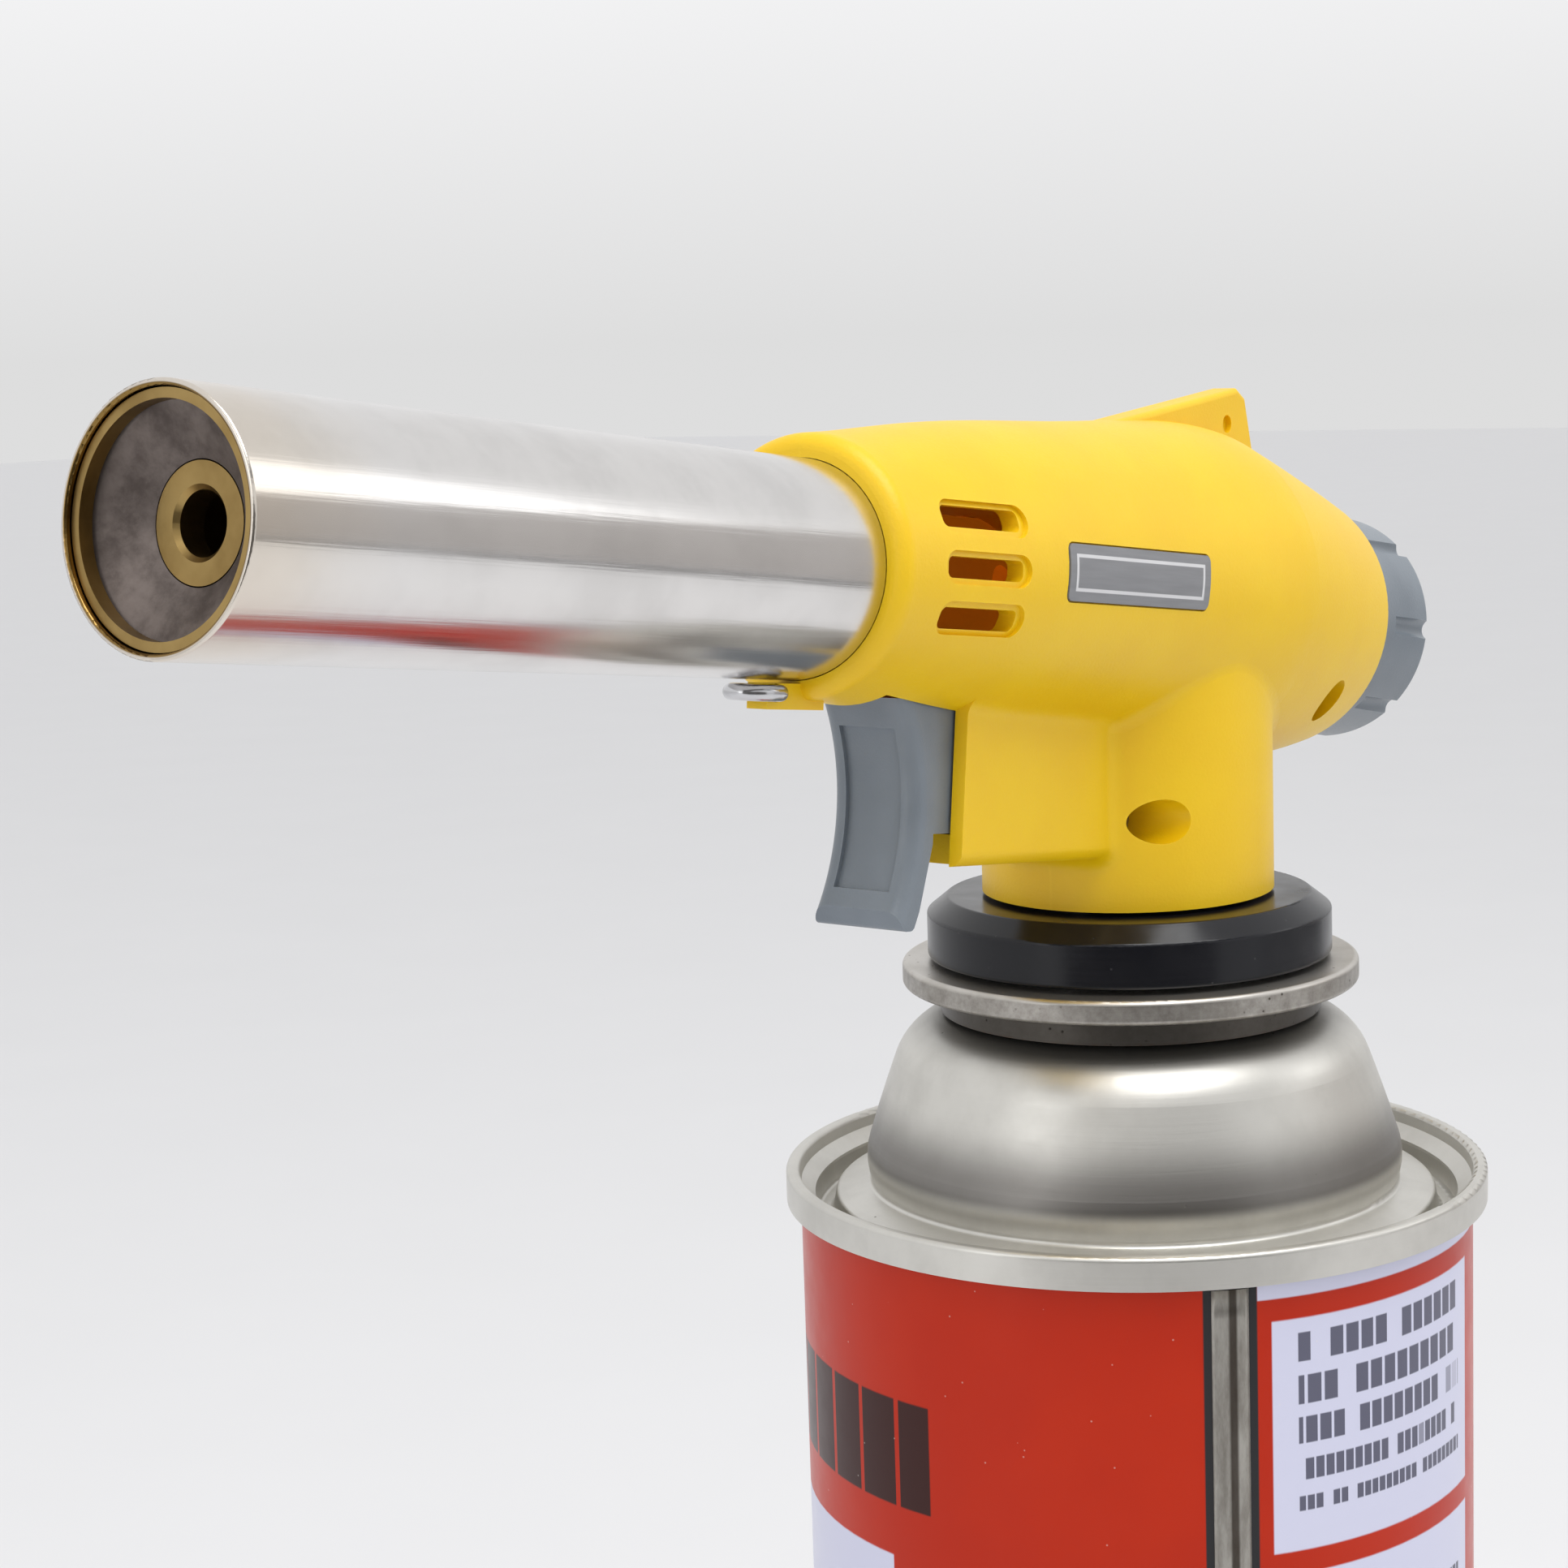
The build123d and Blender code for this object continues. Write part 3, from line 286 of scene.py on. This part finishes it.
def can_print():
    """Gloss print on the side wall: red ground, framed pale panels with rows of bars, dark blocks."""
    red, red_drift, brown = rgb(180, 38, 3), rgb(176, 35, 3), rgb(54, 23, 20)
    lilac, ink, dark = rgb(203, 204, 224), rgb(74, 74, 92), rgb(40, 40, 42)
    paint = Paint("can_print", Coat_Weight=0.22, Coat_Roughness=0.12, Specular_IOR_Level=0.12)
    turn, height = paint.turn(), paint.above_seam()
    base = paint.mix(paint.step(paint.noise(14.0, 2.0), 0.35, 0.65), red, red_drift)
    # row of dark blocks round the front
    block_share = paint.math("FRACT", paint.math("DIVIDE", turn, BLOCK_PITCH))
    blocks = paint.both(
        paint.band(turn, *BLOCKS_TURN, TURN_SOFT),
        paint.band(height, *BLOCKS_HEIGHT, HEIGHT_SOFT),
        paint.step(block_share, 0.10, 0.115),
    )
    base = paint.mix(blocks, base, brown)
    # pale fields below the blocks and right of the side seam
    below = paint.band(height, *FIELD_HEIGHT, HEIGHT_SOFT)
    field = paint.both(paint.band(turn, *FIELD_TURN, TURN_SOFT), below)
    strip = paint.both(paint.band(turn, *FRAME_TURN, TURN_SOFT), paint.step(height, -5.0, -4.8))
    base = paint.mix(paint.math("MAXIMUM", field, strip), base, lilac)
    base = paint.mix(paint.both(field, paint.band(height, *FIELD_STRIPE, HEIGHT_SOFT)), base, red)
    across = paint.band(turn, *PANEL_TURN, TURN_SOFT)
    for low, high in PANEL_HEIGHTS:
        base = paint.mix(paint.both(across, paint.band(height, low, high, HEIGHT_SOFT)), base, lilac)
    for index, (middle, tall, wide) in enumerate(BAR_ROWS):
        # short bars with gaps: a cell of a row is always inked or always blank
        shifted = paint.math("ADD", paint.math("DIVIDE", turn, wide), index * 0.37)
        chance = paint.add("ShaderNodeTexWhiteNoise", noise_dimensions="2D")
        paint.put(chance.inputs["Vector"], paint.combine(paint.math("FLOOR", shifted), float(index), 0.0))
        inked = paint.both(
            paint.band(turn, *TEXT_TURN, 0.1),
            paint.band(height, middle - tall / 2, middle + tall / 2, 0.08),
            paint.step(chance.outputs["Value"], 0.14, 0.16),
            paint.step(paint.math("FRACT", shifted), 0.16, 0.22),
        )
        base = paint.mix(paint.math("MULTIPLY", inked, 0.92), base, ink)
    # dark bare borders beside the side seam, scratches under the top seam, dust
    base = paint.mix(paint.band(turn, *BORDER_TURN, TURN_SOFT), base, dark)
    scratches = paint.step(paint.noise(0.5, 4.0, 0.7, place=paint.stretched(0.06)), 0.72, 0.80)
    worn = paint.both(scratches, paint.step(height, -14.0, -3.0))
    base = paint.mix(paint.math("MULTIPLY", worn, 0.5), base, rgb(150, 140, 132))
    dust = paint.step(paint.cells(2.3), 0.02, 0.05, 1.0, 0.0)
    base = paint.mix(paint.math("MULTIPLY", dust, 0.35), base, rgb(225, 215, 205))
    paint.set("Base Color", base)
    paint.set("Roughness", paint.math("ADD", paint.math("MULTIPLY", paint.noise(3.0, 4.0), 0.18), 0.24))
    paint.bump(paint.noise(2.2, 2.0), 0.02, 0.25)
    paint.bump(blocks, 0.012, 0.6)
    return paint


def flame_steel():
    """Polished flame tube: drawn lines, smudges, straw tint at the mouth, scorched inside."""
    bright_steel, dull_steel = rgb(222, 220, 218), rgb(212, 210, 208)
    paint = metal("flame_steel", bright_steel, dull_steel, 0.15, 0.25, burner_lines, haze=0.05)
    reach = paint.math("MULTIPLY", paint.along(burner_forward), 1000.0)
    side = paint.math("POWER", paint.math("ABSOLUTE", paint.part("Y")), 2.0)
    rise = paint.math("POWER", paint.math("ABSOLUTE", paint.along(burner_upward)), 2.0)
    radius = paint.math("SQRT", paint.math("ADD", side, rise))
    inside = paint.step(radius, 8.85 * MM, 8.95 * MM, 1.0, 0.0)
    ragged = paint.math("ADD", reach, paint.math("MULTIPLY", paint.noise(6.0, 3.0), 6.0))
    straw = paint.step(ragged, 112.0, 126.0)
    base = paint.colour()
    base = paint.mix(paint.math("MULTIPLY", straw, 0.30), base, rgb(214, 190, 150))
    paint.set("Base Color", paint.mix(inside, base, rgb(140, 112, 62)))
    return paint


def scorched():
    """Heated sheet: grey-brown oxide with darker patches."""
    paint = Paint("scorched", Metallic=0.75)
    patches = paint.noise(3.5, 5.0, 0.65)
    base = paint.mix(paint.step(patches, 0.35, 0.70), rgb(122, 112, 107), rgb(88, 79, 75))
    paint.set("Base Color", base)
    paint.set("Roughness", paint.math("ADD", paint.math("MULTIPLY", patches, 0.25), 0.36))
    paint.bump(paint.noise(0.5, 4.0), 0.04, 0.5)
    return paint


def dome_steel():
    """Satin tinplate: spun haze, faint turned lines, scattered specks; painted shade towards the cup and a
    painted dark reflection band low on the wall.
    """
    paint = metal("dome_steel", rgb(214, 212, 206), rgb(204, 202, 196), 0.38, 0.30, turned_lines, pits=0.12)
    height = paint.above_seam()
    # painted shade: the dome's top darkens towards the cup, standing in for the shadow under the flange
    painted_shade_under_cup = paint.step(height, 12.2, 16.2)
    base = paint.colour()
    base = paint.mix(paint.math("MULTIPLY", painted_shade_under_cup, 0.62), base, rgb(70, 66, 62))
    # painted reflection: a dark band low on the dome wall stands in for a dark reflection there
    painted_dark_reflection = paint.both(paint.step(height, 0.6, 1.8), paint.step(height, 3.0, 8.6, 1.0, 0.0))
    paint.set("Base Color", paint.mix(paint.math("MULTIPLY", painted_dark_reflection, 0.78), base, rgb(104, 100, 97)))
    return paint


def cup_steel():
    """Mounting cup: satin tinplate with rusty specks where the rim was cut, and painted shade on the wall
    below the flange.
    """
    paint = metal("cup_steel", rgb(204, 200, 194), rgb(186, 182, 175), 0.34, 0.22, turned_lines, pits=0.9)
    edge = paint.edges(0.5)
    speckle = paint.both(edge, paint.step(paint.noise(0.9, 5.0, 0.7), 0.46, 0.58))
    height = paint.above_seam()
    # painted shade: the cup wall below the flange is darkened to stand in for the shadow beneath it
    painted_shade_under_flange = paint.step(height, 17.9, 18.4, 1.0, 0.0)
    side = paint.both(paint.step(height, 19.9, 20.3, 1.0, 0.0), paint.noise(1.1, 5.0, 0.7))
    base = paint.colour()
    base = paint.mix(side, base, rgb(112, 106, 98))
    base = paint.mix(paint.math("MULTIPLY", painted_shade_under_flange, 0.9), base, rgb(66, 62, 57))
    paint.set("Base Color", paint.mix(paint.math("MULTIPLY", speckle, 0.85), base, rgb(84, 70, 58)))
    return paint


def label_face():
    """Grey anodised label with a fine light frame and no lettering."""
    paint = Paint("label_face", Metallic=0.35)
    reach = paint.math("MULTIPLY", paint.along(burner_forward), 1000.0)
    rise = paint.math("MULTIPLY", paint.along(burner_upward), 1000.0)
    outer = paint.both(paint.band(reach, 10.6, 30.8, 0.03), paint.band(rise, -0.62, 2.62, 0.03))
    inner = paint.both(paint.band(reach, 10.9, 30.5, 0.03), paint.band(rise, -0.32, 2.32, 0.03))
    frame_line = paint.math("SUBTRACT", outer, inner)
    grain = paint.noise(0.35, 3.0, place=burner_lines(paint))
    base = paint.mix(grain, rgb(126, 127, 130), rgb(146, 147, 150))
    paint.set("Base Color", paint.mix(frame_line, base, rgb(214, 214, 216)))
    paint.set("Roughness", paint.math("ADD", paint.math("MULTIPLY", grain, 0.2), 0.34))
    paint.bump(grain, 0.01, 0.4)
    return paint


def gloss_black():
    """Glossy black ring: handling haze, hairline scratches, dust."""
    paint = Paint("gloss_black", Specular_IOR_Level=0.38)
    haze = paint.noise(5.0, 4.0)
    dust = paint.step(paint.cells(1.7), 0.03, 0.08, 1.0, 0.0)
    base = paint.mix(paint.math("MULTIPLY", dust, 0.25), rgb(13, 14, 20), rgb(96, 95, 96))
    rubbed = paint.both(paint.edges(0.5), paint.step(paint.noise(1.5, 4.0), 0.4, 0.7))
    paint.set("Base Color", paint.mix(paint.math("MULTIPLY", rubbed, 0.3), base, rgb(70, 70, 76)))
    paint.set("Roughness", paint.math("ADD", paint.math("MULTIPLY", haze, 0.22), 0.12))
    paint.bump(paint.noise(0.4, 3.0, place=turned_lines(paint)), 0.015, 0.3)
    return paint


yellow = moulded("yellow_plastic", rgb(232, 191, 0), rgb(229, 186, 0), 0.42, 0.28, soft=0.08)
grey = moulded("grey_plastic", rgb(118, 126, 134), rgb(108, 116, 124), 0.34, 0.22)
pale_plastic = moulded("pale_plastic", rgb(226, 226, 220), rgb(214, 213, 206), 0.42, 0.30, soft=0.1)
tube_plastic = moulded("tube_plastic", rgb(206, 210, 204), rgb(196, 200, 192), 0.36, 0.30, soft=0.2)
red_cover = moulded("red_cover", rgb(176, 28, 20), rgb(160, 22, 16), 0.34, 0.30)
ceramic = moulded("ceramic", rgb(232, 230, 222), rgb(220, 216, 206), 0.22, 0.40)
seal_rubber = moulded("seal_rubber", rgb(30, 30, 31), rgb(22, 22, 23), 0.62, 0.30)
bright = metal("bright_steel", rgb(214, 214, 216), rgb(196, 196, 198), 0.14, 0.3)
wire = metal("spring_wire", rgb(176, 176, 180), rgb(150, 150, 154), 0.28, 0.3)
plate = metal("lock_plate", rgb(180, 180, 180), rgb(154, 153, 150), 0.36, 0.25, turned_lines, pits=0.3)
brass = metal("brass", rgb(172, 145, 92), rgb(144, 118, 70), 0.30, 0.3, burner_lines, pits=0.1)
mixer_brass_painted_glow = metal("mixer_brass_painted_glow", rgb(232, 190, 110), rgb(214, 168, 88), 0.36, 0.3, burner_lines, pits=0.1)
# painted light: a faint orange glow on the mixer brass brightens it behind the housing's vents
mixer_brass_painted_glow.set("Emission Color", rgb(255, 140, 20))
mixer_brass_painted_glow.set("Emission Strength", 0.10)
cast = metal("cast_zinc", rgb(168, 168, 172), rgb(146, 146, 150), 0.46, 0.6)

finishes = {
    can_print(): ["can_body"],
    dome_steel(): ["can_dome", "can_base"],
    cup_steel(): ["mounting_cup"],
    yellow: ["housing_left", "housing_right"],
    grey: ["trigger", "control_knob"],
    gloss_black(): ["base_ring"],
    flame_steel(): ["flame_tube"],
    scorched(): ["flame_dish", "burner_tube"],
    label_face(): ["label_plate"],
    mixer_brass_painted_glow: ["air_mixer"],
    brass: ["flame_holder", "heat_ring", "gas_jet", "gland_nut", "inlet_probe", "needle_spindle"],
    bright: ["hang_ring"],
    wire: ["stem_spring", "housing_screws", "lock_screws", "knob_clip", "electrode_rod"],
    plate: ["lock_plate"],
    cast: ["valve_body"],
    pale_plastic: ["valve_housing", "valve_stem", "piezo_body", "piezo_plunger"],
    tube_plastic: ["dip_tube"],
    red_cover: ["ignition_lead"],
    ceramic: ["electrode_insulator"],
    seal_rubber: ["stem_gasket", "inlet_seal", "spindle_seal"],
}
for paint, nodes in finishes.items():
    for name in nodes:
        piece = frame["nodes"][name]
        if not piece.material_slots:
            piece.data.materials.append(paint.material)
        for material_slot in piece.material_slots:
            material_slot.material = paint.material


# ---------------------------------------------------------------- new pieces
def new_piece(name, grid, thickness, material, body):
    """A thin solid strip from rows of points, with softened edges."""
    mesh = bpy.data.meshes.new(name)
    work = bmesh.new()
    rows = [[work.verts.new(point) for point in row] for row in grid]
    for upper, lower in zip(rows, rows[1:]):
        for index in range(len(upper) - 1):
            work.faces.new((upper[index], upper[index + 1], lower[index + 1], lower[index]))
    bmesh.ops.recalc_face_normals(work, faces=work.faces)
    bmesh.ops.solidify(work, geom=work.faces[:], thickness=thickness)
    bmesh.ops.recalc_face_normals(work, faces=work.faces)
    for face in work.faces:
        face.smooth = True
    work.to_mesh(mesh)
    work.free()
    piece = bpy.data.objects.new(name, mesh)
    bpy.context.scene.collection.objects.link(piece)
    mesh.materials.append(material)
    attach(piece, body)
    return piece


def seam_steel():
    """Welded lap of the side wall: grey steel with a darker weld line and scorch marks."""
    paint = Paint("seam_steel", Metallic=0.9)
    turn = paint.turn()
    mottle = paint.noise(2.6, 5.0, 0.7, place=paint.stretched(0.25))
    base = paint.mix(paint.step(mottle, 0.3, 0.7), rgb(182, 179, 172), rgb(136, 131, 124))
    line = paint.band(turn, *WELD_TURN, 0.25)
    paint.set("Base Color", paint.mix(paint.math("MULTIPLY", line, 0.85), base, rgb(56, 46, 38)))
    paint.set("Roughness", paint.math("ADD", paint.math("MULTIPLY", mottle, 0.3), 0.28))
    paint.bump(mottle, 0.05, 0.5)
    return paint


# raised lap weld down the side wall; angles in degrees, sizes in millimetres
lap_low, lap_high = 222.2, 228.2
lap_columns, lap_rows = 9, 60
lap_inset, lap_lift, lap_crown, lap_ripple, lap_sheet = 0.4, 0.05, 0.13, 0.012, 0.04
lap_height = can_high.z - can_low.z - 2 * lap_inset * MM
lap_grid = []
for row in range(lap_rows + 1):
    height = can_low.z + lap_inset * MM + lap_height * row / lap_rows
    columns = []
    for column in range(lap_columns + 1):
        share = column / lap_columns
        angle = math.radians(lap_low + (lap_high - lap_low) * share)
        swell = math.sin(math.pi * share)
        ripple = lap_ripple * math.sin(row * 2.1) * swell
        radius = can_radius + (lap_lift + lap_crown * swell**0.5 + ripple) * MM
        columns.append((radius * math.cos(angle), radius * math.sin(angle), height))
    lap_grid.append(columns)
new_piece("side_seam", lap_grid, lap_sheet * MM, seam_steel().material, "cartridge")

# ---------------------------------------------------------------- floor, light, camera
floor_paint = Paint("floor", Roughness=0.55)
floor_shades = rgb(223, 223, 224), rgb(220, 220, 221)
floor_paint.set("Base Color", floor_paint.mix(floor_paint.noise(60.0, 3.0), *floor_shades))
bpy.ops.mesh.primitive_plane_add(size=12.0, location=(0, 0, 0))
floor = bpy.context.object
floor.name = "floor"
floor.data.materials.append(floor_paint.material)

world = bpy.data.worlds.new("studio")
bpy.context.scene.world = world
world.use_nodes = True
sky = world.node_tree
background = sky.nodes["Background"]
geometry = sky.nodes.new("ShaderNodeTexCoord")
split = sky.nodes.new("ShaderNodeSeparateXYZ")
ramp = sky.nodes.new("ShaderNodeValToRGB")
sky.links.new(geometry.outputs["Generated"], split.inputs[0])
sky.links.new(split.outputs["Z"], ramp.inputs[0])
sky.links.new(ramp.outputs[0], background.inputs["Color"])
ramp.color_ramp.elements[0].position = 0.0
ramp.color_ramp.elements[0].color = rgb(229, 229, 229)
ramp.color_ramp.elements[1].position = 0.11
ramp.color_ramp.elements[1].color = rgb(250, 250, 251)
background.inputs["Strength"].default_value = 0.93


def area_light(name, place, target, width, height, power):
    light = bpy.data.lights.new(name, "AREA")
    light.shape = "RECTANGLE"
    light.size, light.size_y, light.energy = width, height, power
    lamp = bpy.data.objects.new(name, light)
    lamp.location = place
    lamp.rotation_euler = (Vector(target) - Vector(place)).to_track_quat("-Z", "Y").to_euler()
    bpy.context.scene.collection.objects.link(lamp)


aim = (0, 0, 0.2)
area_light("top", (-0.10, -0.25, 0.95), aim, 0.55, 0.55, 4.0)
area_light("left", (-0.85, 0.10, 0.45), aim, 0.45, 0.8, 1.0)
area_light("right", (0.75, -0.75, 0.50), aim, 0.4, 0.8, 1.1)

def dark_card(name, place, target, width, height, shade):
    """A grey card beside the set, seen only in reflections."""
    paint = Paint(name, Roughness=0.9)
    paint.set("Base Color", shade)
    bpy.ops.mesh.primitive_plane_add(size=1.0, location=place)
    card = bpy.context.object
    card.name = name
    card.scale = (width, height, 1.0)
    card.rotation_euler = (Vector(target) - Vector(place)).to_track_quat("-Z", "Y").to_euler()
    card.data.materials.append(paint.material)
    card.visible_camera = False
    card.visible_shadow = False
    card.visible_diffuse = False


dark_card("card_high", (-0.16, -0.52, 0.62), (-0.09, 0.0, 0.23), 0.70, 0.10, rgb(92, 96, 104))
dark_card("card_right", (0.62, -0.55, 0.26), (-0.09, 0.0, 0.23), 0.80, 0.42, rgb(182, 178, 175))
dark_card("card_line", (0.50, -0.47, 0.055), (-0.09, 0.0, 0.23), 0.80, 0.035, rgb(36, 36, 38))
dark_card("card_front", (-0.475, -0.356, 0.20), (0.0, 0.0, 0.20), 1.10, 0.40, rgb(88, 86, 84))

camera_data = bpy.data.cameras.new("camera")
camera_data.sensor_width = 36.0
camera_data.lens = 70.81
camera_data.clip_start, camera_data.clip_end = 0.01, 30.0
camera = bpy.data.objects.new("camera", camera_data)
right = Vector((0.59571181, -0.80248994, -0.0337243))
up = Vector((0.13508509, 0.0587114, 0.98909301))
back = Vector((-0.7917572, -0.59377004, 0.1433795))
turned = Matrix((right, up, back)).transposed().to_4x4()
camera.matrix_world = Matrix.Translation((-0.257944, -0.151822, 0.246034)) @ turned
bpy.context.scene.collection.objects.link(camera)
bpy.context.scene.camera = camera
bpy.context.scene.view_settings.view_transform = "Standard"

bpy.context.view_layer.update()
